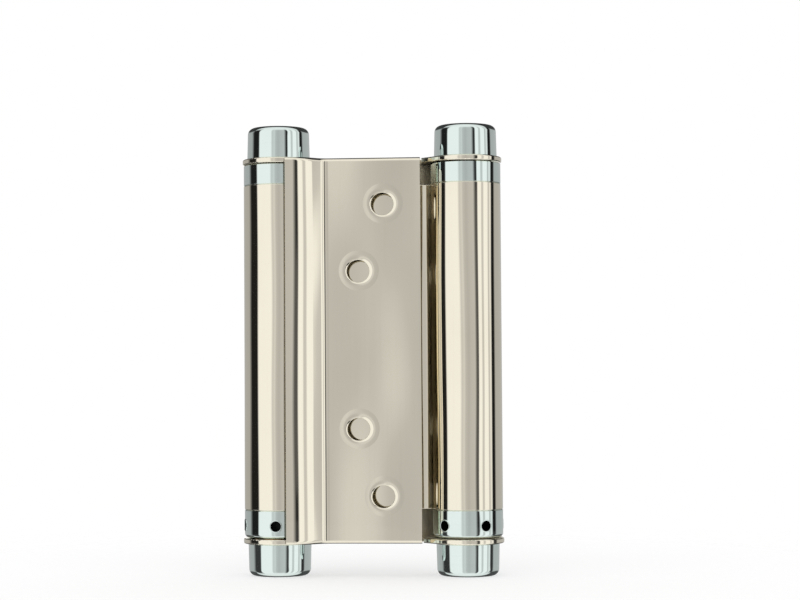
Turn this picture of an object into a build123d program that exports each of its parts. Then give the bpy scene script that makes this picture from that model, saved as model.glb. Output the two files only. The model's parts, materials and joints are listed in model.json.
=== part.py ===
from build123d import *
import math
import os

# Double action spring hinge: a rolled web joins two spring barrels, and each barrel carries
# a leaf on its own spindle. Millimetres, +Z up, origin at the centre of the whole hinge.
# The front leaf (towards -Y) hangs on the left barrel, and the rear leaf is the same leaf
# turned half round about Z, on the right barrel. Each piece of a barrel is drawn on the
# barrel's own axis and then placed.

# Driving sizes of the two leaves
leaf_height = 150.0
leaf_sheet = 2.0
leaf_face_depth = 7.2        # barrel axis plane to the leaf's outer face
curl_centre_x = 1.35         # centre of the curl that covers the barrel, from the barrel axis
curl_centre_y = 3.5
curl_start_angle = 9.2       # measured from the front, towards the leaf
curl_end_angle = 43.0
bend_radius = 4.3            # outer face, where the slope meets the flat
rim_round = 1.8              # rolled top and bottom edges of the outer face
ear_sheet = 2.0
ear_corner_reach = 2.9       # past the ear's round, towards the leaf
ear_corner_y = 2.75
ear_edge_round = 0.5
ear_root_overlap = 0.1       # ear into the plate that it is folded from

# Driving sizes of the web and its two barrels
barrel_pitch = 73.6
barrel_radius = 13.7
web_sheet = 1.5
root_bend_radius = 3.0       # middle of the sheet, where the web turns into a barrel
seam_angle = 2.0             # opening left between the rolled edge and the web

# Driving sizes of what each barrel holds
spindle_radius = 4.0
spindle_chamfer = 0.6
holder_height = 8.4          # barrel top to the upper ear
collar_height = 11.15        # lower ear to the barrel bottom
collar_rim_round = 1.6
collar_edge_chamfer = 0.3
spigot_length = 10.0
spigot_chamfer = 0.8
tommy_hole_count = 5
tommy_hole_radius = 2.2
tommy_hole_depth = 6.5
tommy_hole_drop = 6.0        # below the barrel's bottom edge
left_tommy_angle = 0.7       # first hole of each collar, from the front
right_tommy_angle = -38.35
spring_wire_depth = 4.0      # across the coil
spring_wire_width = 6.0      # along the coil
spring_mean_radius = 8.3
spring_pitch = 8.2
spring_tang_side = 3.2
spring_tang_length = 6.0
thrust_washer_radius = 10.0
thrust_washer_thickness = 1.2
thrust_washer_proud = 0.3    # keeps the collars off the ears
cap_base_radius = 12.3
cap_tip_radius = 12.0
cap_height = 12.6
cap_edge_round = 2.6
cap_base_chamfer = 0.3
cap_bore_depth = 9.5
spindle_end_gap = 1.0        # spindle end to the bottom of the cap's bore
retaining_washer_radius = 8.0
retaining_washer_thickness = 1.2

# Screw holes of a leaf, from the centre of the barrel axis
screw_hole_radius = 4.4
screw_land = 0.6
screw_sink_radius = 6.0
screw_lip_radius = 5.6
screw_lip_height = 0.4
outer_hole_x = 41.4
outer_hole_z = 56.8
inner_hole_x = 31.85
inner_hole_z = 30.7

# Clearances
curl_gap = 0.5               # barrel to the inner face of the curl, straight in front
ear_proud = 0.4              # ear round beyond the barrel
leaf_edge_gap = 3.7          # leaf's straight edge to the other barrel
running_fit = 0.05           # radial, shaft in bore
spigot_fit = 0.1             # radial, collar spigot in its barrel
face_gap = 0.05              # between flat faces that turn on each other
tang_fit = 0.2               # round the spring's bent end
spring_end_gap = 0.3         # spring coil to spigot
recess_fit = 0.1             # round a washer in its recess

# Sizes that follow from the ones above
half_leaf = leaf_height / 2
ear_inside = half_leaf - ear_sheet
barrel_top = ear_inside - holder_height
barrel_bottom = collar_height - ear_inside
barrel_height = barrel_top - barrel_bottom
barrel_bore = barrel_radius - web_sheet
curl_radius = barrel_radius + curl_gap + leaf_sheet + curl_centre_y
leaf_reach = barrel_pitch - barrel_radius - leaf_edge_gap
ear_radius = barrel_radius + ear_proud
ear_corner_x = ear_radius + ear_corner_reach
washer_recess = thrust_washer_thickness - thrust_washer_proud + face_gap
holder_top = ear_inside - thrust_washer_proud
collar_bottom = thrust_washer_proud - ear_inside
spindle_bore = spindle_radius + running_fit


def at_angle(radius, degrees):
    """Point on a circle about the barrel axis; 0 is the front, positive towards +X."""
    turn = math.radians(degrees)
    return (radius * math.sin(turn), -radius * math.cos(turn))


def upright_slice(points):
    """Face in the half plane X > 0 to be turned about Z, from its corner points."""
    return make_face(Plane.XZ * Polyline(*points, close=True))


def turned(points):
    return revolve(upright_slice(points), Axis.Z)


# The rolled web: one sheet, flat between the barrels and rolled into a tube at each side
def rolled_end():
    """Middle line of the right half of the web, from the centre plane out to the seam."""
    middle_radius = barrel_radius - web_sheet / 2
    axis_x = barrel_pitch / 2
    bend_distance = middle_radius + root_bend_radius
    bend_x = axis_x - math.sqrt(bend_distance**2 - root_bend_radius**2)
    bend_turn = math.degrees(math.asin(root_bend_radius / bend_distance))
    flat = Line((0, 0), (bend_x, 0))
    bend = CenterArc((bend_x, -root_bend_radius), root_bend_radius, 90, bend_turn - 90)
    tube_start = 180 + bend_turn
    tube = CenterArc((axis_x, 0), middle_radius, tube_start, 360 - bend_turn - seam_angle)
    return flat + bend + tube


def make_web():
    half = trace(rolled_end(), web_sheet)
    plan = half + Rot(0, 0, 180) * half
    return Pos(0, 0, barrel_bottom) * extrude(plan, amount=barrel_height)


# One leaf, drawn about its own barrel axis with its outer face to the front
def curl_point(offset, degrees):
    """Point of the curl at a depth below its outer face."""
    x, y = at_angle(curl_radius - offset, degrees)
    return (curl_centre_x + x, curl_centre_y + y)


def leaf_line(offset):
    """Line of the leaf's section at a depth below its outer face, free edge to straight edge."""
    slope = math.radians(curl_end_angle)
    slope_start = curl_point(offset, curl_end_angle)
    flat_y = offset - leaf_face_depth
    corner_x = slope_start[0] + (flat_y - slope_start[1]) / math.tan(slope)
    radius = bend_radius + offset
    tangent = radius * math.tan(slope / 2)
    bend_start = (corner_x - tangent * math.cos(slope), flat_y - tangent * math.sin(slope))
    bend_end = (corner_x + tangent, flat_y)
    curl = CenterArc(
        (curl_centre_x, curl_centre_y),
        curl_radius - offset,
        curl_start_angle - 90,
        curl_end_angle - curl_start_angle,
    )
    slope_line = Line(slope_start, bend_start)
    bend = CenterArc((bend_end[0], flat_y - radius), radius, 90 + curl_end_angle, -curl_end_angle)
    flat = Line(bend_end, (leaf_reach, flat_y))
    return curl + slope_line + bend + flat


def leaf_plate():
    plan = trace(leaf_line(leaf_sheet / 2), leaf_sheet)
    plate = Pos(0, 0, -half_leaf) * extrude(plan, amount=leaf_height)
    outer_wire = leaf_line(0)
    rims = []
    for edge in plate.edges():
        middle = edge @ 0.5
        on_rim = abs(abs(middle.Z) - half_leaf) < 1e-4
        if on_rim and outer_wire.distance_to(Vector(middle.X, middle.Y, 0)) < 1e-3:
            rims.append(edge)
    return fillet(rims, rim_round)


def ear_plan():
    """Plan of an ear: a disc round the axis that runs out to the leaf."""
    depth = leaf_sheet - ear_root_overlap
    inner_start = curl_point(depth, curl_start_angle)
    inner_end = curl_point(depth, curl_end_angle)
    plate_y = depth - leaf_face_depth
    slope_x = inner_end[0] + (plate_y - inner_end[1]) / math.tan(math.radians(curl_end_angle))
    corner_distance = math.hypot(ear_corner_x, ear_corner_y)
    corner_angle = math.atan2(ear_corner_y, ear_corner_x)
    tangent_angle = corner_angle + math.acos(ear_radius / corner_distance)
    tangent = (ear_radius * math.cos(tangent_angle), ear_radius * math.sin(tangent_angle))
    curl = CenterArc(
        (curl_centre_x, curl_centre_y),
        curl_radius - depth,
        curl_start_angle - 90,
        curl_end_angle - curl_start_angle,
    )
    rest = Polyline(
        inner_end,
        (slope_x, plate_y),
        (ear_corner_x, ear_corner_y),
        tangent,
        (0, 0),
        inner_start,
    )
    return make_face(curl + rest) + Circle(ear_radius)


def screw_places():
    """Centres of the screw holes, as distance from the barrel axis and height."""
    places = []
    for side in (1, -1):
        places.append((outer_hole_x, side * outer_hole_z))
        places.append((inner_hole_x, side * inner_hole_z))
    return places


def screw_cut(x, z):
    """Countersunk hole that opens wide on the web side."""
    sink_depth = leaf_sheet + screw_lip_height - screw_land
    cutter = turned([
        (0, -1),
        (screw_hole_radius, -1),
        (screw_hole_radius, screw_land),
        (screw_sink_radius, screw_land + sink_depth),
        (screw_sink_radius, screw_land + sink_depth + 1),
        (0, screw_land + sink_depth + 1),
    ])
    return Pos(x, -leaf_face_depth - screw_lip_height, z) * Rot(-90, 0, 0) * cutter


def screw_lip(x, z):
    """Raised ring round the hole, where the dimple stands out of the outer face."""
    ring = turned([
        (screw_hole_radius - 1, 0),
        (screw_lip_radius - screw_lip_height, 0),
        (screw_lip_radius, screw_lip_height),
        (screw_lip_radius, screw_lip_height + leaf_sheet / 2),
        (screw_hole_radius - 1, screw_lip_height + leaf_sheet / 2),
    ])
    return Pos(x, -leaf_face_depth - screw_lip_height, z) * Rot(-90, 0, 0) * ring


def make_ear():
    ear = extrude(ear_plan(), amount=ear_sheet)
    rims = ear.edges().filter_by(GeomType.CIRCLE)
    rims = rims.filter_by(lambda edge: abs(edge.radius - ear_radius) < 0.01)
    return fillet(rims, ear_edge_round)


def make_leaf():
    leaf = leaf_plate()
    for x, z in screw_places():
        leaf += screw_lip(x, z)
    for x, z in screw_places():
        leaf -= screw_cut(x, z)
    ear = make_ear()
    leaf += Pos(0, 0, ear_inside) * ear
    leaf += Pos(0, 0, -half_leaf) * ear
    leaf -= Cylinder(spindle_bore, leaf_height + 2)
    return leaf


# What one barrel holds
def tang_slot(low, high):
    """Room for the spring's bent end, on the side of the barrel that faces the web."""
    width = spring_tang_side + 2 * tang_fit
    return Pos(spring_mean_radius, 0, (low + high) / 2) * Box(width, width, high - low)


def make_holder():
    """Fixed spring holder that plugs the top of the barrel."""
    spigot_radius = barrel_bore - spigot_fit
    spigot_end = barrel_top - spigot_length
    body = turned([
        (spindle_bore, spigot_end),
        (spigot_radius - spigot_chamfer, spigot_end),
        (spigot_radius, spigot_end + spigot_chamfer),
        (spigot_radius, barrel_top),
        (barrel_radius - collar_edge_chamfer, barrel_top),
        (barrel_radius, barrel_top + collar_edge_chamfer),
        (barrel_radius, holder_top - collar_edge_chamfer),
        (barrel_radius - collar_edge_chamfer, holder_top),
        (thrust_washer_radius + recess_fit, holder_top),
        (thrust_washer_radius + recess_fit, holder_top - washer_recess),
        (spindle_bore, holder_top - washer_recess),
    ])
    slot_top = spigot_end + spring_tang_length + 1
    return body - tang_slot(spigot_end - 1, slot_top)


def make_collar(first_angle):
    """Adjusting collar that turns in the bottom of the barrel."""
    spigot_radius = barrel_bore - spigot_fit
    spigot_end = barrel_bottom + spigot_length
    flange_top = barrel_bottom - face_gap
    body = turned([
        (spindle_bore, spigot_end),
        (spigot_radius - spigot_chamfer, spigot_end),
        (spigot_radius, spigot_end - spigot_chamfer),
        (spigot_radius, flange_top),
        (barrel_radius - collar_edge_chamfer, flange_top),
        (barrel_radius, flange_top - collar_edge_chamfer),
        (barrel_radius, collar_bottom),
        (thrust_washer_radius + recess_fit, collar_bottom),
        (thrust_washer_radius + recess_fit, collar_bottom + washer_recess),
        (spindle_bore, collar_bottom + washer_recess),
    ])
    rim = body.edges().filter_by(GeomType.CIRCLE).filter_by(lambda e: e.radius > barrel_radius - 0.01)
    body = fillet(rim.sort_by(Axis.Z)[:1], collar_rim_round)
    hole_z = barrel_bottom - tommy_hole_drop
    for step in range(tommy_hole_count):
        angle = first_angle + step * 360 / tommy_hole_count
        hole = Pos(0, tommy_hole_depth / 2 - barrel_radius, hole_z) * Rot(90, 0, 0)
        hole *= Cylinder(tommy_hole_radius, tommy_hole_depth)
        body -= Rot(0, 0, angle) * hole
    return body - tang_slot(spigot_end - spring_tang_length - 1, spigot_end + 1)


def make_spring():
    """Torsion spring of flat wire, with an end that reaches into each spigot."""
    low = barrel_bottom + spigot_length + spring_end_gap
    high = barrel_top - spigot_length - spring_end_gap
    rise = high - low - spring_wire_width
    turns = round(rise / spring_pitch)
    path = Helix(rise / turns, rise, spring_mean_radius)
    start = Plane(path @ 0, x_dir=(1, 0, 0), z_dir=path % 0)
    wire = start * Rectangle(spring_wire_depth, spring_wire_width)
    coil = Pos(0, 0, low + spring_wire_width / 2) * sweep(wire, path, is_frenet=True)
    tang_length = spring_tang_length + spring_end_gap + spring_wire_width / 2
    tang = Box(spring_tang_side, spring_tang_side, tang_length)
    tang_middle = (spring_wire_width - tang_length) / 2
    coil += Pos(spring_mean_radius, 0, low + tang_middle) * tang
    coil += Pos(spring_mean_radius, 0, high - tang_middle) * tang
    return coil


def make_spindle():
    length = leaf_height + 2 * (cap_bore_depth - spindle_end_gap)
    rod = Cylinder(spindle_radius, length)
    return chamfer(rod.edges().filter_by(GeomType.CIRCLE), spindle_chamfer)


def make_thrust_washer():
    """Flat washer that stands proud of its collar, drawn on the upper side of its recess."""
    ring = Cylinder(thrust_washer_radius, thrust_washer_thickness)
    ring -= Cylinder(spindle_bore, thrust_washer_thickness)
    return Pos(0, 0, ear_inside - face_gap - thrust_washer_thickness / 2) * ring


def make_retaining_washer():
    ring = Cylinder(retaining_washer_radius, retaining_washer_thickness)
    ring -= Cylinder(spindle_bore, retaining_washer_thickness)
    return Pos(0, 0, half_leaf + retaining_washer_thickness / 2) * ring


def make_cap():
    """Turned end cap, pressed on the spindle over its washer."""
    tip = half_leaf + cap_height
    washer_space = half_leaf + retaining_washer_thickness + recess_fit
    body = turned([
        (retaining_washer_radius + recess_fit, half_leaf),
        (cap_base_radius - cap_base_chamfer, half_leaf),
        (cap_base_radius, half_leaf + cap_base_chamfer),
        (cap_tip_radius, tip),
        (0, tip),
        (0, half_leaf + cap_bore_depth),
        (spindle_bore, half_leaf + cap_bore_depth),
        (spindle_bore, washer_space),
        (retaining_washer_radius + recess_fit, washer_space),
    ])
    return fillet(body.edges().filter_by(GeomType.CIRCLE).sort_by(Axis.Z)[-1:], cap_edge_round)


# Each piece is written where it sits in the closed hinge
def write(name, shape, place=Location()):
    solids = (place * shape).solids()
    print(name, "solids", len(solids), "valid", all(solid.is_valid for solid in solids))
    export_step(solids[0] if len(solids) == 1 else Compound(solids), f"parts/{name}.step")


os.makedirs("parts", exist_ok=True)

write("web_barrels", make_web())

leaf_shape = make_leaf()
holder_shape = make_holder()
spring_shape = make_spring()
spindle_shape = make_spindle()
thrust_washer_shape = make_thrust_washer()
retaining_washer_shape = make_retaining_washer()
cap_shape = make_cap()

left_axis = Pos(-barrel_pitch / 2, 0, 0)
right_axis = Pos(barrel_pitch / 2, 0, 0)
half_round = Rot(0, 0, 180)
upside_down = Rot(180, 0, 0)

barrels = (
    ("left", "front", left_axis, left_tommy_angle),
    ("right", "rear", right_axis * half_round, right_tommy_angle - 180),
)
for side, face, place, tommy_angle in barrels:
    write(f"{face}_leaf", leaf_shape, place)
    write(f"{side}_spring_holder", holder_shape, place)
    write(f"{side}_adjusting_collar", make_collar(tommy_angle), place)
    write(f"{side}_spring", spring_shape, place)
    write(f"{side}_spindle", spindle_shape, place)
    write(f"{side}_top_thrust_washer", thrust_washer_shape, place)
    write(f"{side}_bottom_thrust_washer", thrust_washer_shape, place * upside_down)
    write(f"{side}_top_retaining_washer", retaining_washer_shape, place)
    write(f"{side}_bottom_retaining_washer", retaining_washer_shape, place * upside_down)
    write(f"{side}_top_cap", cap_shape, place)
    write(f"{side}_bottom_cap", cap_shape, place * upside_down)
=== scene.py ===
import json
import math

import bmesh
import bpy
from mathutils import Matrix, Vector


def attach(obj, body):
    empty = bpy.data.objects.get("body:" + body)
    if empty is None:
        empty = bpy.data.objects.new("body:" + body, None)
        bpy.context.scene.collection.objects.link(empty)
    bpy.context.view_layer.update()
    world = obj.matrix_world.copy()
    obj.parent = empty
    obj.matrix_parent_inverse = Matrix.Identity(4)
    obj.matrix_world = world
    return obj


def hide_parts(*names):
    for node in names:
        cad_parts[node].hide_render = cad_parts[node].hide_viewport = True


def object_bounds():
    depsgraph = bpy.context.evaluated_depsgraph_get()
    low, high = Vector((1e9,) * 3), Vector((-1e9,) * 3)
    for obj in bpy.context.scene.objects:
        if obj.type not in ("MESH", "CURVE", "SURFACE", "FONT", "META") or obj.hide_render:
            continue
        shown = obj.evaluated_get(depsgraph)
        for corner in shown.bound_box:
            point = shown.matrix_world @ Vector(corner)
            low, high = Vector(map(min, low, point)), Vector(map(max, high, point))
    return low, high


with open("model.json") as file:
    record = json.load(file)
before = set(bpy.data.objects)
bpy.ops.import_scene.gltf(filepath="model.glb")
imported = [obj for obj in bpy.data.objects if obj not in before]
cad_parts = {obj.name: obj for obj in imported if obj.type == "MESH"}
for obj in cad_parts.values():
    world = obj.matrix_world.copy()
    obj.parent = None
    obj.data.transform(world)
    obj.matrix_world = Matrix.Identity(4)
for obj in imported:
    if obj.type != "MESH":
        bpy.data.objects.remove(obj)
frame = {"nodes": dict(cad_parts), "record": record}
cadBox = [list(corner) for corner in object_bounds()]
record = frame["record"]
bodies = record["behaviour"]["bodies"]
bodyOf = {node: body for body, members in bodies.items() for node in members}
slotOf = {row["node"]: row["material_slot"] for row in record["subparts"]}
print("frame loaded,", len(frame["nodes"]), "nodes")

# Lengths are in metres, and in millimetres only where a note says so
perMetre = 1000


# Small helpers for objects and node trees
def addObject(name, data):
    item = bpy.data.objects.new(name, data)
    bpy.context.scene.collection.objects.link(item)
    return item


def setInput(tree, socket, value):
    if isinstance(value, bpy.types.NodeSocket):
        tree.links.new(value, socket)
    else:
        socket.default_value = value


def addNode(tree, kind, inputs=None, **settings):
    node = tree.nodes.new(kind)
    for name, value in settings.items():
        setattr(node, name, value)
    for name, value in (inputs or {}).items():
        setInput(tree, node.inputs[name], value)
    return node


def calc(tree, operation, *values):
    node = tree.nodes.new("ShaderNodeMath")
    node.operation = operation
    for socket, value in zip(node.inputs, values):
        setInput(tree, socket, value)
    return node.outputs[0]


def rampOf(tree, factor, stops):
    ramp = tree.nodes.new("ShaderNodeValToRGB")
    elements = ramp.color_ramp.elements
    while len(elements) > 1:
        elements.remove(elements[-1])
    elements[0].position = stops[0][0]
    elements[0].color = (*[stops[0][1]] * 3, 1)
    for place, level in stops[1:]:
        elements.new(place).color = (level, level, level, 1)
    tree.links.new(factor, ramp.inputs["Fac"])
    return ramp.outputs["Color"]


def addSocket(tree, name, kind, value=None, way="INPUT"):
    socket = tree.interface.new_socket(name, in_out=way, socket_type=kind)
    if value is not None:
        socket.default_value = value


def mixOf(tree, share, first, second, kind="FLOAT"):
    # the Mix node keeps numbers and colours in sockets of their own
    low, high, result = {"FLOAT": (2, 3, 0), "RGBA": (6, 7, 2)}[kind]
    node = addNode(tree, "ShaderNodeMix", {0: share, low: first, high: second}, data_type=kind)
    return node.outputs[result]


def stretchOf(tree, vector, scale):
    inputs = {0: vector, 1: scale}
    return addNode(tree, "ShaderNodeVectorMath", inputs, operation="MULTIPLY").outputs[0]


def noiseOf(tree, vector, scale, detail):
    inputs = {"Vector": vector, "Scale": scale, "Detail": detail}
    return addNode(tree, "ShaderNodeTexNoise", inputs).outputs["Fac"]


def rangeOf(tree, value, span, **settings):
    inputs = {"Value": value, "From Min": span[0], "From Max": span[1]}
    return addNode(tree, "ShaderNodeMapRange", inputs, **settings).outputs["Result"]


# Camera at the photograph's angle
cameraSettings = {
    "place": (0.07494, -0.83060, -0.01292),
    "yaw": -0.0770,
    "pitch": 0.0390,
    "roll": -0.0062,
    "lens": 95.85,
    "sensorWidth": 36.0,
}


def makeCamera(settings):
    data = bpy.data.cameras.new("photoCamera")
    data.lens = settings["lens"]
    data.sensor_width = settings["sensorWidth"]
    camera = addObject("photoCamera", data)
    yaw, pitch, roll = settings["yaw"], settings["pitch"], settings["roll"]
    forward = Vector((
        math.sin(yaw) * math.cos(pitch),
        math.cos(yaw) * math.cos(pitch),
        math.sin(pitch),
    ))
    level = Vector((math.cos(yaw), -math.sin(yaw), 0))
    upright = level.cross(forward)
    across = level * math.cos(roll) + upright * math.sin(roll)
    over = upright * math.cos(roll) - level * math.sin(roll)
    turn = Matrix((across, over, -forward)).transposed()
    camera.matrix_world = Matrix.Translation(settings["place"]) @ turn.to_4x4()
    bpy.context.scene.camera = camera


makeCamera(cameraSettings)
print("camera placed")


# Studio: white all round, with grey and dark cards that only the polished metal sees
studioSettings = {
    # degrees round from the front, positive towards +X, and the level seen there
    "bands": [
        (-180, 0.50), (-175, 0.97), (-167, 0.97), (-163, 0.46), (-108, 0.42), (-95, 0.014),
        (-69.5, 0.014), (-65.5, 0.97), (-22, 0.98), (-16, 0.62), (-9, 0.71), (-4, 0.55), (5, 0.49),
        (14, 0.54), (27, 0.56), (31, 0.24), (34.5, 0.02), (39, 0.02), (42, 1.0), (52, 0.98),
        (54.5, 0.62), (60, 0.62), (62.5, 1.0), (77.5, 0.98), (79, 0.55), (83.5, 0.60), (86, 0.88),
        (91, 0.80), (94, 0.012), (105, 0.012), (111, 0.45), (180, 0.50),
    ],
    # the narrow dark card is paler at eye level: first by degrees, then by the sine of height
    "paleCard": [(-180, 0.0), (31, 0.0), (32.5, 1.0), (40.5, 1.0), (42, 0.0), (180, 0.0)],
    "paleCardHeight": [
        (-1, 0.0), (-0.066, 0.0), (-0.052, 0.1), (0.075, 0.1), (0.095, 0.0), (1, 0.0),
    ],
    # degrees over the top from the front, negative below
    "arch": [
        (-180, 0.46), (-165, 0.06), (-118, 0.04), (-108, 0.85), (-60, 0.95), (0, 0.90),
        (60, 0.95), (98, 0.85), (106, 0.03), (165, 0.06), (180, 0.46),
    ],
    # by the sine of height, the upright bands give way to the arch, and sooner behind the hinge
    "bandShare": [(-1, 0.0), (-0.82, 0.0), (-0.50, 1.0), (0.50, 1.0), (0.82, 0.0), (1, 0.0)],
    "behindNarrowing": 2.5,
    # a full turn in degrees and in radians, and the sine's whole range
    "degrees": 360,
    "radians": 2 * math.pi,
    "sines": 2,
}


def centredShare(tree, value, span):
    # a span with zero in its middle, counted from 0 to 1
    return calc(tree, "MULTIPLY_ADD", value, 1 / span, 0.5)


def centredRamp(tree, share, stops, span):
    return rampOf(tree, share, [(place / span + 0.5, level) for place, level in stops])


def makeStudio(settings):
    world = bpy.data.worlds.new("studio")
    bpy.context.scene.world = world
    world.use_nodes = True
    tree = world.node_tree
    tree.nodes.clear()
    direction = addNode(tree, "ShaderNodeTexCoord").outputs["Generated"]
    parts = addNode(tree, "ShaderNodeSeparateXYZ", {"Vector": direction})
    towards = calc(tree, "MULTIPLY", parts.outputs["Y"], -1.0)
    roundTurn = calc(tree, "ARCTAN2", parts.outputs["X"], towards)
    overTurn = calc(tree, "ARCTAN2", parts.outputs["Z"], towards)
    roundShare = centredShare(tree, roundTurn, settings["radians"])
    overShare = centredShare(tree, overTurn, settings["radians"])
    behind = calc(tree, "MAXIMUM", parts.outputs["Y"], 0.0)
    narrowing = calc(tree, "MULTIPLY_ADD", behind, settings["behindNarrowing"], 1.0)
    height = calc(tree, "MULTIPLY", parts.outputs["Z"], narrowing)
    heightShare = centredShare(tree, height, settings["sines"])
    bands = centredRamp(tree, roundShare, settings["bands"], settings["degrees"])
    arch = centredRamp(tree, overShare, settings["arch"], settings["degrees"])
    share = centredRamp(tree, heightShare, settings["bandShare"], settings["sines"])
    cards = mixOf(tree, share, arch, bands)
    levelShare = centredShare(tree, parts.outputs["Z"], settings["sines"])
    pale = centredRamp(tree, roundShare, settings["paleCard"], settings["degrees"])
    paler = centredRamp(tree, levelShare, settings["paleCardHeight"], settings["sines"])
    shown = calc(tree, "MAXIMUM", cards, calc(tree, "MULTIPLY", pale, paler))
    rays = addNode(tree, "ShaderNodeLightPath")
    dimmed = calc(tree, "SUBTRACT", 1.0, shown)
    mirrored = calc(tree, "MULTIPLY", dimmed, rays.outputs["Is Glossy Ray"])
    level = calc(tree, "SUBTRACT", 1.0, mirrored)
    light = addNode(tree, "ShaderNodeBackground", {"Color": (1, 1, 1, 1), "Strength": level})
    output = addNode(tree, "ShaderNodeOutputWorld")
    tree.links.new(light.outputs[0], output.inputs["Surface"])


makeStudio(studioSettings)
bpy.context.scene.view_settings.view_transform = "Standard"
print("studio made")


# Floor that fades out into the white background
floorSettings = {
    "radius": 0.32,
    "drop": 0.0001,
    # half of the floor's white is its own glow, which keeps the shadow light
    "level": 0.50,
    "fadeSpan": (0.10, 0.30),
    "mirroredShare": 0.03,
    "sides": 96,
}


def makeFloor(settings):
    mesh = bpy.data.meshes.new("floor")
    work = bmesh.new()
    radius, sides = settings["radius"], settings["sides"]
    bmesh.ops.create_circle(work, cap_ends=True, segments=sides, radius=radius)
    ground = cadBox[0][2] - settings["drop"]
    bmesh.ops.translate(work, verts=work.verts, vec=(0, 0, ground))
    work.to_mesh(mesh)
    work.free()
    floor = addObject("floor", mesh)
    material = bpy.data.materials.new("paleFloor")
    material.use_nodes = True
    tree = material.node_tree
    tree.nodes.clear()
    place = addNode(tree, "ShaderNodeTexCoord").outputs["Object"]
    flat = stretchOf(tree, place, (1, 1, 0))
    distance = addNode(tree, "ShaderNodeVectorMath", {0: flat}, operation="LENGTH")
    rays = addNode(tree, "ShaderNodeLightPath")
    away = distance.outputs["Value"]
    fade = rangeOf(tree, away, settings["fadeSpan"], interpolation_type="SMOOTHSTEP")
    paint = addNode(tree, "ShaderNodeBsdfDiffuse", {"Color": (*[settings["level"]] * 3, 1)})
    seen = calc(tree, "MAXIMUM", rays.outputs["Is Camera Ray"], rays.outputs["Is Glossy Ray"])
    strength = calc(tree, "MULTIPLY", seen, 1 - settings["level"])
    glow = addNode(tree, "ShaderNodeEmission", {"Color": (1, 1, 1, 1), "Strength": strength})
    solid = addNode(tree, "ShaderNodeAddShader")
    tree.links.new(paint.outputs[0], solid.inputs[0])
    tree.links.new(glow.outputs[0], solid.inputs[1])
    clear = addNode(tree, "ShaderNodeBsdfTransparent")
    mirrored = calc(tree, "MULTIPLY", rays.outputs["Is Glossy Ray"], 1 - settings["mirroredShare"])
    thin = calc(tree, "MAXIMUM", fade, mirrored)
    blend = addNode(tree, "ShaderNodeMixShader", {"Fac": thin})
    tree.links.new(solid.outputs[0], blend.inputs[1])
    tree.links.new(clear.outputs[0], blend.inputs[2])
    output = addNode(tree, "ShaderNodeOutputMaterial")
    tree.links.new(blend.outputs[0], output.inputs["Surface"])
    mesh.materials.append(material)


makeFloor(floorSettings)
print("floor laid")


# Shader groups that the finishes share
grainSettings = {
    # the sheet's waver is drawn out along the barrels
    "waverStretch": (1.0, 1.0, 0.35),
    "waverDetail": 0.0,
    "rippleDetail": 1.0,
    # the noise between these two levels counts as dulled
    "smudgeSpan": (0.48, 0.72),
    "smudgeDetail": 4.0,
    "smudgeWeight": 0.6,
    "hairlineSpan": (0.55, 0.80),
    "hairlineDetail": 2.0,
    "hairlineWeight": 0.4,
}


def groupOf(name, inputs, outputs):
    tree = bpy.data.node_groups.new(name, "ShaderNodeTree")
    for label, kind, value in inputs:
        addSocket(tree, label, kind, value)
    for label, kind in outputs:
        addSocket(tree, label, kind, way="OUTPUT")
    return tree, tree.nodes.new("NodeGroupInput"), tree.nodes.new("NodeGroupOutput")


def makeSheetWaver(settings):
    # height in millimetres: a slow waver of the sheet and a short ripple from the buffing mop
    tree, given, made = groupOf(
        "sheetWaver",
        [
            ("Position", "NodeSocketVector", None),
            ("Waver Scale", "NodeSocketFloat", 30.0),
            ("Waver Depth", "NodeSocketFloat", 0.01),
            ("Ripple Scale", "NodeSocketFloat", 160.0),
            ("Ripple Depth", "NodeSocketFloat", 0.0005),
        ],
        [("Height", "NodeSocketFloat")],
    )
    drawn = stretchOf(tree, given.outputs["Position"], settings["waverStretch"])
    slow = noiseOf(tree, drawn, given.outputs["Waver Scale"], settings["waverDetail"])
    quick = noiseOf(tree, drawn, given.outputs["Ripple Scale"], settings["rippleDetail"])
    slowHeight = calc(tree, "MULTIPLY", slow, given.outputs["Waver Depth"])
    height = calc(tree, "MULTIPLY_ADD", quick, given.outputs["Ripple Depth"], slowHeight)
    tree.links.new(height, made.inputs["Height"])
    return tree


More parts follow.
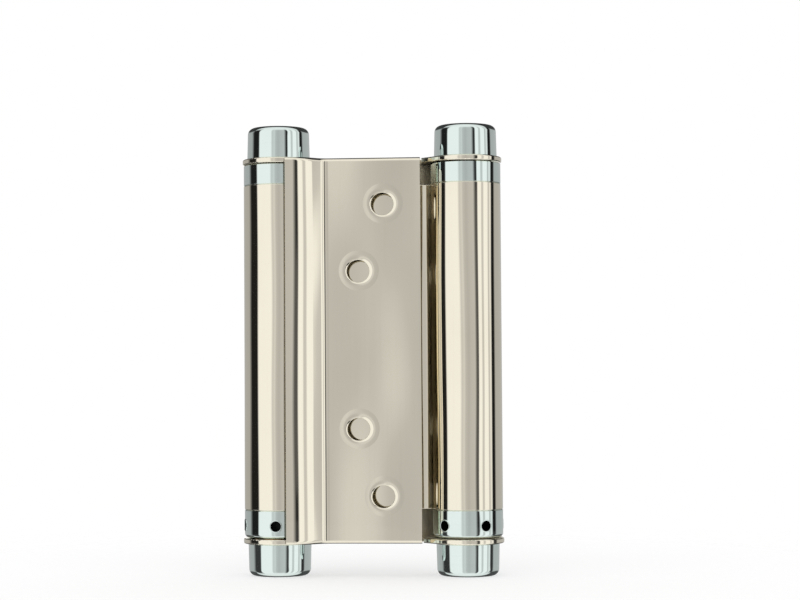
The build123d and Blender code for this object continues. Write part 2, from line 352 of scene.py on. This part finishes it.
def makePolishWear(settings):
    # smudges and fine hairlines left by the buffing mop
    tree, given, made = groupOf(
        "polishWear",
        [
            ("Position", "NodeSocketVector", None),
            ("Clean Tone", "NodeSocketColor", (0.9, 0.9, 0.9, 1)),
            ("Dulled Tone", "NodeSocketColor", (0.8, 0.8, 0.8, 1)),
            ("Smudge Scale", "NodeSocketFloat", 40.0),
            ("Hairline Scale", "NodeSocketFloat", 900.0),
            ("Hairline Stretch", "NodeSocketVector", (1.0, 1.0, 0.03)),
            ("Clean Roughness", "NodeSocketFloat", 0.05),
            ("Dulled Roughness", "NodeSocketFloat", 0.12),
        ],
        [("Color", "NodeSocketColor"), ("Roughness", "NodeSocketFloat")],
    )
    place = given.outputs["Position"]
    smudge = noiseOf(tree, place, given.outputs["Smudge Scale"], settings["smudgeDetail"])
    patch = rangeOf(tree, smudge, settings["smudgeSpan"])
    drawn = stretchOf(tree, place, given.outputs["Hairline Stretch"])
    hairline = noiseOf(tree, drawn, given.outputs["Hairline Scale"], settings["hairlineDetail"])
    line = rangeOf(tree, hairline, settings["hairlineSpan"])
    patchShare = calc(tree, "MULTIPLY", patch, settings["smudgeWeight"])
    share = calc(tree, "MULTIPLY_ADD", line, settings["hairlineWeight"], patchShare)
    tone = mixOf(tree, share, given.outputs["Clean Tone"], given.outputs["Dulled Tone"], "RGBA")
    rough = mixOf(tree, share, given.outputs["Clean Roughness"], given.outputs["Dulled Roughness"])
    tree.links.new(tone, made.inputs["Color"])
    tree.links.new(rough, made.inputs["Roughness"])
    return tree


sheetWaver = makeSheetWaver(grainSettings)
polishWear = makePolishWear(grainSettings)


def makeMetal(name, settings):
    material = bpy.data.materials.new(name)
    material.use_nodes = True
    tree = material.node_tree
    tree.nodes.clear()
    place = addNode(tree, "ShaderNodeTexCoord").outputs["Object"]
    wearInputs = {"Position": place, **settings["wear"]}
    wear = addNode(tree, "ShaderNodeGroup", wearInputs, node_tree=polishWear)
    waverInputs = {"Position": place, **settings["waver"]}
    waver = addNode(tree, "ShaderNodeGroup", waverInputs, node_tree=sheetWaver)
    bumpInputs = {"Height": waver.outputs["Height"], "Strength": 1.0, "Distance": 1 / perMetre}
    bump = addNode(tree, "ShaderNodeBump", bumpInputs)
    shader = addNode(
        tree,
        "ShaderNodeBsdfPrincipled",
        {
            "Base Color": wear.outputs["Color"],
            "Metallic": settings.get("metallic", 1.0),
            "Roughness": wear.outputs["Roughness"],
            "Normal": bump.outputs["Normal"],
        },
    )
    output = addNode(tree, "ShaderNodeOutputMaterial")
    tree.links.new(shader.outputs[0], output.inputs["Surface"])
    return material


# Wear and waver of each finish; a waver below zero turns the noise's hollows into swells
finishSettings = {
    "polished_nickel": {
        "wear": {
            "Clean Tone": (0.918, 0.862, 0.725, 1),
            "Dulled Tone": (0.880, 0.822, 0.685, 1),
            "Clean Roughness": 0.03,
            "Dulled Roughness": 0.06,
            "Smudge Scale": 34.0,
        },
        "waver": {
            "Waver Scale": 42.0,
            "Waver Depth": -1.25,
            "Ripple Scale": 240.0,
            "Ripple Depth": 0.0004,
        },
    },
    "polished_chrome": {
        "wear": {
            "Clean Tone": (0.785, 0.880, 0.847, 1),
            "Dulled Tone": (0.745, 0.838, 0.806, 1),
            "Clean Roughness": 0.022,
            "Dulled Roughness": 0.05,
            "Smudge Scale": 60.0,
            "Hairline Stretch": (0.03, 0.03, 1.0),
        },
        "waver": {
            "Waver Scale": 60.0,
            "Waver Depth": 0.35,
            "Ripple Scale": 300.0,
            "Ripple Depth": 0.0002,
        },
    },
    # painted shade: a near-black tone that stands for the shade inside the tommy holes
    "painted_shade_bore_steel": {
        "wear": {
            "Clean Tone": (0.030, 0.036, 0.034, 1),
            "Dulled Tone": (0.012, 0.014, 0.013, 1),
            "Clean Roughness": 0.45,
            "Dulled Roughness": 0.65,
            "Smudge Scale": 200.0,
        },
        "waver": {
            "Waver Scale": 300.0,
            "Waver Depth": 0.004,
            "Ripple Scale": 900.0,
            "Ripple Depth": 0.004,
        },
    },
    # less polished, and toned down as painted shade for the dark gap between leaf and web
    "satin_shaded_nickel": {
        "metallic": 0.35,
        "wear": {
            "Clean Tone": (0.70, 0.63, 0.49, 1),
            "Dulled Tone": (0.56, 0.50, 0.38, 1),
            "Clean Roughness": 0.40,
            "Dulled Roughness": 0.50,
            "Smudge Scale": 60.0,
        },
        "waver": {
            "Waver Scale": 42.0,
            "Waver Depth": 0.20,
            "Ripple Scale": 600.0,
            "Ripple Depth": 0.001,
        },
    },
    # painted shade: a near-black tone that stands for the shade in the countersinks and along the
    # curl's cut edge
    "painted_shade_nickel": {
        "wear": {
            "Clean Tone": (0.16, 0.145, 0.11, 1),
            "Dulled Tone": (0.09, 0.08, 0.055, 1),
            "Clean Roughness": 0.30,
            "Dulled Roughness": 0.45,
            "Smudge Scale": 120.0,
        },
        "waver": {
            "Waver Scale": 200.0,
            "Waver Depth": 0.01,
            "Ripple Scale": 900.0,
            "Ripple Depth": 0.003,
        },
    },
    "spring_steel": {
        "wear": {
            "Clean Tone": (0.16, 0.155, 0.16, 1),
            "Dulled Tone": (0.07, 0.065, 0.06, 1),
            "Clean Roughness": 0.28,
            "Dulled Roughness": 0.5,
            "Smudge Scale": 90.0,
        },
        "waver": {
            "Waver Scale": 120.0,
            "Waver Depth": 0.01,
            "Ripple Scale": 700.0,
            "Ripple Depth": 0.002,
        },
    },
    "bright_steel": {
        "wear": {
            "Clean Tone": (0.62, 0.62, 0.61, 1),
            "Dulled Tone": (0.45, 0.44, 0.42, 1),
            "Clean Roughness": 0.16,
            "Dulled Roughness": 0.32,
            "Smudge Scale": 80.0,
            "Hairline Stretch": (0.03, 0.03, 1.0),
        },
        "waver": {
            "Waver Scale": 100.0,
            "Waver Depth": 0.002,
            "Ripple Scale": 600.0,
            "Ripple Depth": 0.001,
        },
    },
    "oiled_bronze": {
        "wear": {
            "Clean Tone": (0.42, 0.27, 0.12, 1),
            "Dulled Tone": (0.20, 0.12, 0.05, 1),
            "Clean Roughness": 0.3,
            "Dulled Roughness": 0.55,
            "Smudge Scale": 120.0,
        },
        "waver": {
            "Waver Scale": 150.0,
            "Waver Depth": 0.004,
            "Ripple Scale": 900.0,
            "Ripple Depth": 0.003,
        },
    },
}
finishes = {slot: makeMetal(slot, settings) for slot, settings in finishSettings.items()}
print("finishes made:", ", ".join(finishes))


# A CAD node's triangles made into one smooth polished skin
skinSettings = {
    "mergeDistance": 0.000002,
    # radians between two triangles that count as one face
    "flatLimit": 0.0008,
    "creaseAngle": math.radians(26),
    "flatWeight": 80,
    # width of the easing along the pressed sheets' edges
    "edgeEase": 0.00022,
    "edgeSteps": 2,
    "edgeAngle": math.radians(50),
}
sheetNodes = ["web_barrels", "front_leaf", "rear_leaf"]
turnedNodes = ["spring_holder", "adjusting_collar", "top_cap", "bottom_cap"]
skinNodes = sheetNodes + [f"{side}_{name}" for side in ("left", "right") for name in turnedNodes]


def pieceName(node):
    words = node.split("_")
    return words[0] + "".join(word.capitalize() for word in words[1:])


def bakeShape(piece):
    # the evaluated shape becomes the piece's own mesh, and its modifiers go
    graph = bpy.context.evaluated_depsgraph_get()
    graph.update()
    shape = bpy.data.meshes.new_from_object(
        piece.evaluated_get(graph), preserve_all_data_layers=True, depsgraph=graph
    )
    old = piece.data
    piece.modifiers.clear()
    piece.data = shape
    bpy.data.meshes.remove(old)


def makeSkin(node, settings):
    source = frame["nodes"][node].data
    work = bmesh.new()
    corners = [work.verts.new(vertex.co) for vertex in source.vertices]
    for polygon in source.polygons:
        work.faces.new([corners[index] for index in polygon.vertices])
    bmesh.ops.remove_doubles(work, verts=work.verts, dist=settings["mergeDistance"])
    bmesh.ops.dissolve_degenerate(work, dist=settings["mergeDistance"], edges=work.edges)
    bmesh.ops.dissolve_limit(
        work,
        angle_limit=settings["flatLimit"],
        verts=work.verts,
        edges=work.edges,
        use_dissolve_boundaries=False,
    )
    for face in work.faces:
        face.smooth = True
    for edge in work.edges:
        edge.smooth = edge.calc_face_angle(math.pi) < settings["creaseAngle"]
    mesh = bpy.data.meshes.new(pieceName(node))
    work.to_mesh(mesh)
    work.free()
    skin = addObject(pieceName(node), mesh)
    if node in sheetNodes:
        ease = skin.modifiers.new("easedEdges", "BEVEL")
        ease.width = settings["edgeEase"]
        ease.segments = settings["edgeSteps"]
        ease.limit_method = "ANGLE"
        ease.angle_limit = settings["edgeAngle"]
        ease.use_clamp_overlap = True
    even = skin.modifiers.new("evenNormals", "WEIGHTED_NORMAL")
    even.keep_sharp = True
    even.weight = settings["flatWeight"]
    bakeShape(skin)
    skin.data.materials.append(finishes[slotOf[node]])
    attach(skin, bodyOf[node])
    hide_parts(node)
    return skin


skins = {node: makeSkin(node, skinSettings) for node in skinNodes}
print("skins made:", len(skins))


# Where the barrels and their holes are, and which way each leaf faces along Y
barrelAxis = {"left": -0.0368, "right": 0.0368}
leafFacing = {"front_leaf": -1, "rear_leaf": 1}
halfTurn = {"left": 0.0, "right": math.pi, "front_leaf": 0.0, "rear_leaf": math.pi}
bodyOfCollar = {side: bodyOf[f"{side}_adjusting_collar"] for side in barrelAxis}
tommySettings = {
    "barrelRadius": 0.0137,
    "holeRadius": 0.0022,
    "holeLevel": -0.06785,
    "holeCount": 5,
    "firstAngle": {"left": math.radians(0.7), "right": math.radians(-38.35)},
    # faces further in than this below the collar's round belong to a bore, whose near-black tone is
    # painted shade
    "boreShadeFinish": "painted_shade_bore_steel",
    "boreEdge": 0.0001,
    "rimWidth": 0.00042,
    "rimSteps": 12,
    "roundSteps": 56,
}
insideSettings = {
    # the side facing the web: less polished, and darkened as painted shade
    "finish": "satin_shaded_nickel",
    "curlCentre": (-0.03545, 0.0035),
    # outer radius of the curl, and where the flat starts to the right of its centre
    "curlRadius": 0.0197,
    "sheet": 0.002,
    "flatStart": 0.0135,
    "flatSlant": 0.6,
    "insideHeight": 0.0735,
    # the cut edge at the curl's end, within this distance of its centre, gets a near-black painted
    # shade for the gap beside the barrel
    "cutShadeFinish": "painted_shade_nickel",
    "cutReach": 0.006,
    "cutSlant": 0.5,
}
screwSettings = {
    # X and height of the holes on the front leaf, the same below the middle
    "outer": (0.0046, 0.0568),
    "inner": (-0.00495, 0.0307),
    "faceDepth": 0.0072,
    # within this radius, and from this depth on, the sheet is the countersink
    # the countersink's wall takes a near-black painted shade
    "sinkShadeFinish": "painted_shade_nickel",
    "sinkRadius": 0.0061,
    "sinkStart": 0.00005,
    # within this radius, what lies above this level goes down to this depth
    "seatRadius": 0.0054,
    "seatAbove": -0.00025,
    "seatDepth": 0.00055,
    # the dimple's sheet leans this way
    "lean": (0.00032, 0.0, 0.00020),
    "roundSteps": 96,
    "profileSteps": 46,
}


# Bores, countersinks and the curl's cut edge get a near-black painted shade, and the leaves'
# insides are less polished and toned down as painted shade
def addShadedFinish(skin, finish):
    skin.data.materials.append(finishes[finish])
    return len(skin.data.materials) - 1


def awayFromHoles(place, facing, settings):
    # distance from the axis of the nearest screw hole
    return min(
        math.hypot(place.x + holeX * facing, abs(place.z) - holeZ)
        for holeX, holeZ in (settings["outer"], settings["inner"])
    )


def shadeTommyBores(side, settings):
    skin = skins[f"{side}_adjusting_collar"]
    # the bore's faces take the near-black painted shade
    bore = addShadedFinish(skin, settings["boreShadeFinish"])
    for polygon in skin.data.polygons:
        x, y, z = polygon.center
        away = math.hypot(x - barrelAxis[side], y)
        inside = away < settings["barrelRadius"] - settings["boreEdge"]
        if inside and abs(z - settings["holeLevel"]) < settings["holeRadius"]:
            polygon.material_index = bore


def seatDimples(leaf, facing, settings):
    # the skin's edge round a hole drops under the dimple that covers it
    for vertex in skins[leaf].data.vertices:
        above = vertex.co.y * facing - settings["faceDepth"]
        near = awayFromHoles(vertex.co, facing, settings) < settings["seatRadius"]
        if near and above > settings["seatAbove"]:
            vertex.co.y = facing * (settings["faceDepth"] - settings["seatDepth"])


def shadeLeafInsides(leaf, facing, settings):
    # the side of a leaf that faces the web is less polished and toned down as painted shade, and
    # the curl's cut edge gets a near-black painted shade
    skin = skins[leaf]
    satinShade = addShadedFinish(skin, settings["finish"])
    cut = addShadedFinish(skin, settings["cutShadeFinish"])
    centreX, centreY = settings["curlCentre"]
    sheetMiddle = settings["curlRadius"] - settings["sheet"] / 2
    for polygon in skin.data.polygons:
        x, y, z = polygon.center
        # both leaves are looked at as if they were the front one
        fromCurl = Vector((x * -facing - centreX, y * -facing - centreY, 0))
        normal = Vector((polygon.normal.x * -facing, polygon.normal.y * -facing, 0))
        inCurl = fromCurl.length < sheetMiddle
        onFlat = fromCurl.x > settings["flatStart"]
        facesWeb = normal.y > settings["flatSlant"]
        facesIn = facesWeb if onFlat else normal.dot(fromCurl) < 0 and inCurl
        onCut = 0 < fromCurl.x < settings["cutReach"] and normal.y < settings["cutSlant"]
        acrossSheet = abs(normal.dot(fromCurl)) < settings["cutSlant"] * fromCurl.length
        if abs(z) < settings["insideHeight"]:
            if facesIn:
                polygon.material_index = satinShade
            elif onCut and acrossSheet:
                polygon.material_index = cut


def shadeSinks(leaf, facing, settings):
    skin = skins[leaf]
    # the countersink's faces take the near-black painted shade
    sink = addShadedFinish(skin, settings["sinkShadeFinish"])
    for polygon in skin.data.polygons:
        depth = settings["faceDepth"] - polygon.center.y * facing
        near = awayFromHoles(polygon.center, facing, settings) < settings["sinkRadius"]
        if near and depth > settings["sinkStart"]:
            polygon.material_index = sink


for side in barrelAxis:
    shadeTommyBores(side, tommySettings)
for leaf, facing in leafFacing.items():
    seatDimples(leaf, facing, screwSettings)
    shadeLeafInsides(leaf, facing, insideSettings)
    shadeSinks(leaf, facing, screwSettings)
print("bores and countersinks dulled")


# Geometry Nodes: a tree with named inputs, whose result becomes a plain mesh
seamSettings = {"mergeDistance": 0.000001}


def newTree(name, inputs):
    tree = bpy.data.node_groups.new(name, "GeometryNodeTree")
    addSocket(tree, "Geometry", "NodeSocketGeometry", way="OUTPUT")
    for label, kind, value in inputs:
        addSocket(tree, label, kind, value)
    given = tree.nodes.new("NodeGroupInput").outputs
    return tree, given


def endTree(tree, geometry, material):
    smooth = addNode(tree, "GeometryNodeSetShadeSmooth", {"Geometry": geometry})
    real = addNode(tree, "GeometryNodeRealizeInstances", {"Geometry": smooth.outputs[0]})
    paint = {"Geometry": real.outputs[0], "Material": material}
    painted = addNode(tree, "GeometryNodeSetMaterial", paint)
    made = tree.nodes.new("NodeGroupOutput")
    tree.links.new(painted.outputs[0], made.inputs[0])


def growPiece(name, tree, values, body, stands=()):
    piece = addObject(name, bpy.data.meshes.new(name))
    grower = piece.modifiers.new("grower", "NODES")
    grower.node_group = tree
    inputs = [item for item in tree.interface.items_tree if item.in_out == "INPUT"]
    sockets = {item.name: item.identifier for item in inputs}
    for label, value in values.items():
        grower[sockets[label]] = value
    bakeShape(piece)
    work = bmesh.new()
    work.from_mesh(piece.data)
    bmesh.ops.remove_doubles(work, verts=work.verts, dist=seamSettings["mergeDistance"])
    bmesh.ops.recalc_face_normals(work, faces=work.faces)
    work.to_mesh(piece.data)
    work.free()
    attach(piece, body)
    if stands:
        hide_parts(*stands)
    print(name, "grown,", len(piece.data.polygons), "faces")


# Torsion springs: flat wire wound round the spindle, with a straight tang at each end
coilSettings = {
    "meanRadius": 0.0083,
    "turns": 12.0,
    "rise": 0.09985,
    "low": -0.04855,
    "wireDepth": 0.0040,
    "wireWidth": 0.0060,
    "edgeRound": 0.0005,
    "edgeSteps": 2,
    "stepsPerTurn": 56,
    # the lower tang is finer and shorter, so that it stays clear of its slot when the coil winds up
    "lowTang": (0.0018, 0.0018, 0.0038),
    "highTang": (0.0032, 0.0032, 0.0093),
}


def makeCoilTree():
    tree, given = newTree(
        "torsionCoil",
        [
            ("Mean Radius", "NodeSocketFloat", 0.008),
            ("Turns", "NodeSocketFloat", 12.0),
            ("Rise", "NodeSocketFloat", 0.1),
            ("Steps Per Turn", "NodeSocketInt", 48),
            ("Wire Depth", "NodeSocketFloat", 0.004),
            ("Wire Width", "NodeSocketFloat", 0.006),
            ("Edge Round", "NodeSocketFloat", 0.0005),
            ("Edge Steps", "NodeSocketInt", 2),
            ("Low Tang", "NodeSocketVector", None),
            ("High Tang", "NodeSocketVector", None),
            ("Place", "NodeSocketVector", None),
            ("Half Turn", "NodeSocketFloat", 0.0),
            ("Finish", "NodeSocketMaterial", None),
        ],
    )
    path = addNode(
        tree,
        "GeometryNodeCurveSpiral",
        {
            "Resolution": given["Steps Per Turn"],
            "Rotations": given["Turns"],
            "Start Radius": given["Mean Radius"],
            "End Radius": given["Mean Radius"],
            "Height": given["Rise"],
        },
    )
    upright = addNode(tree, "GeometryNodeSetCurveNormal", {"Curve": path.outputs[0]}, mode="Z_UP")
    outline = addNode(
        tree,
        "GeometryNodeCurvePrimitiveQuadrilateral",
        {"Width": given["Wire Depth"], "Height": given["Wire Width"]},
        mode="RECTANGLE",
    )
    eased = addNode(
        tree,
        "GeometryNodeFilletCurve",
        {"Curve": outline.outputs[0], "Count": given["Edge Steps"], "Radius": given["Edge Round"]},
        mode="POLY",
    )
    wire = addNode(
        tree,
        "GeometryNodeCurveToMesh",
        {"Curve": upright.outputs[0], "Profile Curve": eased.outputs[0], "Fill Caps": True},
    )
    tangs = []
    # each tang starts at one end of the rise, and its middle lies half its height beyond that
    for label, end, way in (("Low Tang", 0.0, -0.5), ("High Tang", 1.0, 0.5)):
        bar = addNode(tree, "GeometryNodeMeshCube", {"Size": given[label]})
        size = addNode(tree, "ShaderNodeSeparateXYZ", {"Vector": given[label]})
        start = calc(tree, "MULTIPLY", given["Rise"], end)
        middle = calc(tree, "MULTIPLY_ADD", size.outputs["Z"], way, start)
        spot = addNode(tree, "ShaderNodeCombineXYZ", {"X": given["Mean Radius"], "Z": middle})
        moved = {"Geometry": bar.outputs[0], "Translation": spot.outputs[0]}
        tangs.append(addNode(tree, "GeometryNodeTransform", moved))
    whole = tree.nodes.new("GeometryNodeJoinGeometry")
    for part in (wire, *tangs):
        tree.links.new(part.outputs[0], whole.inputs[0])
    turn = addNode(tree, "ShaderNodeCombineXYZ", {"Z": given["Half Turn"]})
    placed = addNode(
        tree,
        "GeometryNodeTransform",
        {"Geometry": whole.outputs[0], "Translation": given["Place"], "Rotation": turn.outputs[0]},
    )
    endTree(tree, placed.outputs[0], given["Finish"])
    return tree


def growCoil(side, tree, settings):
    values = {
        "Mean Radius": settings["meanRadius"],
        "Turns": settings["turns"],
        "Rise": settings["rise"],
        "Steps Per Turn": settings["stepsPerTurn"],
        "Wire Depth": settings["wireDepth"],
        "Wire Width": settings["wireWidth"],
        "Edge Round": settings["edgeRound"],
        "Edge Steps": settings["edgeSteps"],
        "Low Tang": settings["lowTang"],
        "High Tang": settings["highTang"],
        "Place": (barrelAxis[side], 0.0, settings["low"]),
        "Half Turn": halfTurn[side],
        "Finish": finishes["spring_steel"],
    }
    node = f"{side}_spring"
    growPiece(f"{side}SpringCoil", tree, values, bodyOf[node], (node,))


coilTree = makeCoilTree()
for side in barrelAxis:
    growCoil(side, coilTree, coilSettings)


# Bright rim round the mouth of each tommy hole, bent to the collar's round
def positionOf(tree):
    place = addNode(tree, "GeometryNodeInputPosition").outputs[0]
    return addNode(tree, "ShaderNodeSeparateXYZ", {"Vector": place}).outputs


def circleOf(tree, steps, radius):
    inputs = {"Resolution": steps, "Radius": radius}
    return addNode(tree, "GeometryNodeCurvePrimitiveCircle", inputs, mode="RADIUS").outputs[0]


def makeRimTree():
    tree, given = newTree(
        "tommyRims",
        [
            ("Barrel Radius", "NodeSocketFloat", 0.0137),
            ("Hole Radius", "NodeSocketFloat", 0.0022),
            ("Rim Width", "NodeSocketFloat", 0.0004),
            ("Round Steps", "NodeSocketInt", 48),
            ("Rim Steps", "NodeSocketInt", 10),
            ("Hole Count", "NodeSocketInt", 5),
            ("First Angle", "NodeSocketFloat", 0.0),
            ("Place", "NodeSocketVector", None),
            ("Finish", "NodeSocketMaterial", None),
        ],
    )
    mouth = circleOf(tree, given["Round Steps"], given["Hole Radius"])
    flat = positionOf(tree)
    turn = calc(tree, "ARCSINE", calc(tree, "DIVIDE", flat["X"], given["Barrel Radius"]))
    frontRadius = calc(tree, "MULTIPLY", given["Barrel Radius"], -1.0)
    outward = calc(tree, "MULTIPLY", calc(tree, "COSINE", turn), frontRadius)
    bent = addNode(tree, "ShaderNodeCombineXYZ", {"X": flat["X"], "Y": outward, "Z": flat["Y"]})
    bending = {"Geometry": mouth, "Position": bent.outputs[0]}
    saddle = addNode(tree, "GeometryNodeSetPosition", bending)
    section = circleOf(tree, given["Rim Steps"], calc(tree, "MULTIPLY", given["Rim Width"], 0.5))
    sweep = {"Curve": saddle.outputs[0], "Profile Curve": section}
    rim = addNode(tree, "GeometryNodeCurveToMesh", sweep)
    points = {"Count": given["Hole Count"], "Position": given["Place"]}
    spots = addNode(tree, "GeometryNodePoints", points)
    order = addNode(tree, "GeometryNodeInputIndex")
    share = calc(tree, "DIVIDE", order.outputs[0], given["Hole Count"])
    angle = calc(tree, "MULTIPLY_ADD", share, 2 * math.pi, given["First Angle"])
    facing = addNode(tree, "ShaderNodeCombineXYZ", {"Z": angle})
    rims = addNode(
        tree,
        "GeometryNodeInstanceOnPoints",
        {"Points": spots.outputs[0], "Instance": rim.outputs[0], "Rotation": facing.outputs[0]},
    )
    endTree(tree, rims.outputs[0], given["Finish"])
    return tree


def growRims(side, tree, settings):
    values = {
        "Barrel Radius": settings["barrelRadius"],
        "Hole Radius": settings["holeRadius"],
        "Rim Width": settings["rimWidth"],
        "Round Steps": settings["roundSteps"],
        "Rim Steps": settings["rimSteps"],
        "Hole Count": settings["holeCount"],
        "First Angle": settings["firstAngle"][side],
        "Place": (barrelAxis[side], 0.0, settings["holeLevel"]),
        "Finish": finishes["polished_chrome"],
    }
    growPiece(f"{side}TommyRims", tree, values, bodyOfCollar[side])


rimTree = makeRimTree()
for side in barrelAxis:
    growRims(side, rimTree, tommySettings)


# Pressed dimple round each screw hole: a faint swell that rolls down into the bore
lipProfile = {
    # share of the way round the section, then radius and height above the face in millimetres
    "section": [
        (0.00, 4.38, -0.850), (0.05, 4.36, -0.620), (0.10, 4.38, -0.420), (0.14, 4.44, -0.310),
        (0.18, 4.56, -0.245), (0.24, 4.78, -0.160), (0.31, 5.04, -0.065), (0.38, 5.32, 0.012),
        (0.46, 5.70, 0.062), (0.54, 6.20, 0.076), (0.62, 6.80, 0.058), (0.69, 7.40, 0.028),
        (0.75, 7.90, -0.006), (0.79, 8.20, -0.050), (0.84, 7.60, -0.250), (0.92, 5.80, -0.600),
        (1.00, 4.38, -0.850),
    ],
    "radiusRange": (4.0, 8.5),
    "heightRange": (-1.0, 0.5),
    # the lean grows from nothing at this radius to all of it over this width
    "leanStart": 0.0044,
    "leanWidth": 0.0012,
    "mergeDistance": 0.000002,
}


def curveOf(tree, share, points, span):
    low, high = span
    node = addNode(tree, "ShaderNodeFloatCurve", {"Value": share})
    curve = node.mapping.curves[0]
    while len(curve.points) > 2:
        curve.points.remove(curve.points[1])
    places = [(place, (value - low) / (high - low)) for place, value in points]
    curve.points[0].location = places[0]
    curve.points[-1].location = places[-1]
    for place in places[1:-1]:
        curve.points.new(*place)
    node.mapping.update()
    return calc(tree, "MULTIPLY_ADD", node.outputs[0], (high - low) / perMetre, low / perMetre)


def makeLipTree(profile):
    tree, given = newTree(
        "screwLips",
        [
            ("Round Steps", "NodeSocketInt", 96),
            ("Profile Steps", "NodeSocketInt", 28),
            ("Outer X", "NodeSocketFloat", 0.0),
            ("Outer Z", "NodeSocketFloat", 0.05),
            ("Inner X", "NodeSocketFloat", 0.0),
            ("Inner Z", "NodeSocketFloat", 0.03),
            ("Face Depth", "NodeSocketFloat", 0.007),
            ("Lean", "NodeSocketVector", None),
            ("Half Turn", "NodeSocketFloat", 0.0),
            ("Finish", "NodeSocketMaterial", None),
        ],
    )
    sheet = addNode(
        tree,
        "GeometryNodeMeshGrid",
        {
            "Size X": 1.0,
            "Size Y": 1.0,
            "Vertices X": given["Round Steps"],
            "Vertices Y": given["Profile Steps"],
        },
    )
    flat = positionOf(tree)
    angle = calc(tree, "MULTIPLY", flat["X"], 2 * math.pi)
    share = calc(tree, "ADD", flat["Y"], 0.5)
    radii = [(place, radius) for place, radius, _ in profile["section"]]
    heights = [(place, height) for place, _, height in profile["section"]]
    radius = curveOf(tree, share, radii, profile["radiusRange"])
    height = curveOf(tree, share, heights, profile["heightRange"])
    across = calc(tree, "MULTIPLY", radius, calc(tree, "COSINE", angle))
    upward = calc(tree, "MULTIPLY", radius, calc(tree, "SINE", angle))
    forward = calc(tree, "MULTIPLY", height, -1.0)
    bent = addNode(tree, "ShaderNodeCombineXYZ", {"X": across, "Y": forward, "Z": upward})
    start, width = profile["leanStart"], profile["leanWidth"]
    leaning = calc(tree, "MULTIPLY_ADD", radius, 1 / width, -start / width)
    leanShare = addNode(tree, "ShaderNodeClamp", {"Value": leaning}).outputs[0]
    lean = {0: given["Lean"], "Scale": leanShare}
    shift = addNode(tree, "ShaderNodeVectorMath", lean, operation="SCALE")
    ring = addNode(
        tree,
        "GeometryNodeSetPosition",
        {"Geometry": sheet.outputs[0], "Position": bent.outputs[0], "Offset": shift.outputs[0]},
    )
    seam = {"Geometry": ring.outputs[0], "Distance": profile["mergeDistance"]}
    closed = addNode(tree, "GeometryNodeMergeByDistance", seam)
    # four holes: outer and inner by turns, the first two above the middle and the last two below
    order = addNode(tree, "GeometryNodeInputIndex").outputs[0]
    inner = calc(tree, "MODULO", order, 2.0)
    side = calc(tree, "MULTIPLY_ADD", calc(tree, "GREATER_THAN", order, 1.5), -2.0, 1.0)
    placeX = mixOf(tree, inner, given["Outer X"], given["Inner X"])
    placeY = calc(tree, "MULTIPLY", given["Face Depth"], -1.0)
    placeZ = calc(tree, "MULTIPLY", mixOf(tree, inner, given["Outer Z"], given["Inner Z"]), side)
    spot = addNode(tree, "ShaderNodeCombineXYZ", {"X": placeX, "Y": placeY, "Z": placeZ})
    spots = addNode(tree, "GeometryNodePoints", {"Count": 4, "Position": spot.outputs[0]})
    copies = {"Points": spots.outputs[0], "Instance": closed.outputs[0]}
    lips = addNode(tree, "GeometryNodeInstanceOnPoints", copies)
    turn = addNode(tree, "ShaderNodeCombineXYZ", {"Z": given["Half Turn"]})
    turned = {"Geometry": lips.outputs[0], "Rotation": turn.outputs[0]}
    placed = addNode(tree, "GeometryNodeTransform", turned)
    endTree(tree, placed.outputs[0], given["Finish"])
    return tree


def growLips(leaf, tree, settings):
    values = {
        "Round Steps": settings["roundSteps"],
        "Profile Steps": settings["profileSteps"],
        "Outer X": settings["outer"][0],
        "Outer Z": settings["outer"][1],
        "Inner X": settings["inner"][0],
        "Inner Z": settings["inner"][1],
        "Face Depth": settings["faceDepth"],
        "Lean": settings["lean"],
        "Half Turn": halfTurn[leaf],
        "Finish": finishes["polished_nickel"],
    }
    growPiece(f"{pieceName(leaf)}ScrewLips", tree, values, bodyOf[leaf])


lipTree = makeLipTree(lipProfile)
for leaf in leafFacing:
    growLips(leaf, lipTree, screwSettings)


# The remaining CAD nodes keep their shape and take their finish
for node, cadPiece in frame["nodes"].items():
    for materialSlot in cadPiece.material_slots:
        materialSlot.material = finishes[slotOf[node]]
print("CAD nodes finished")
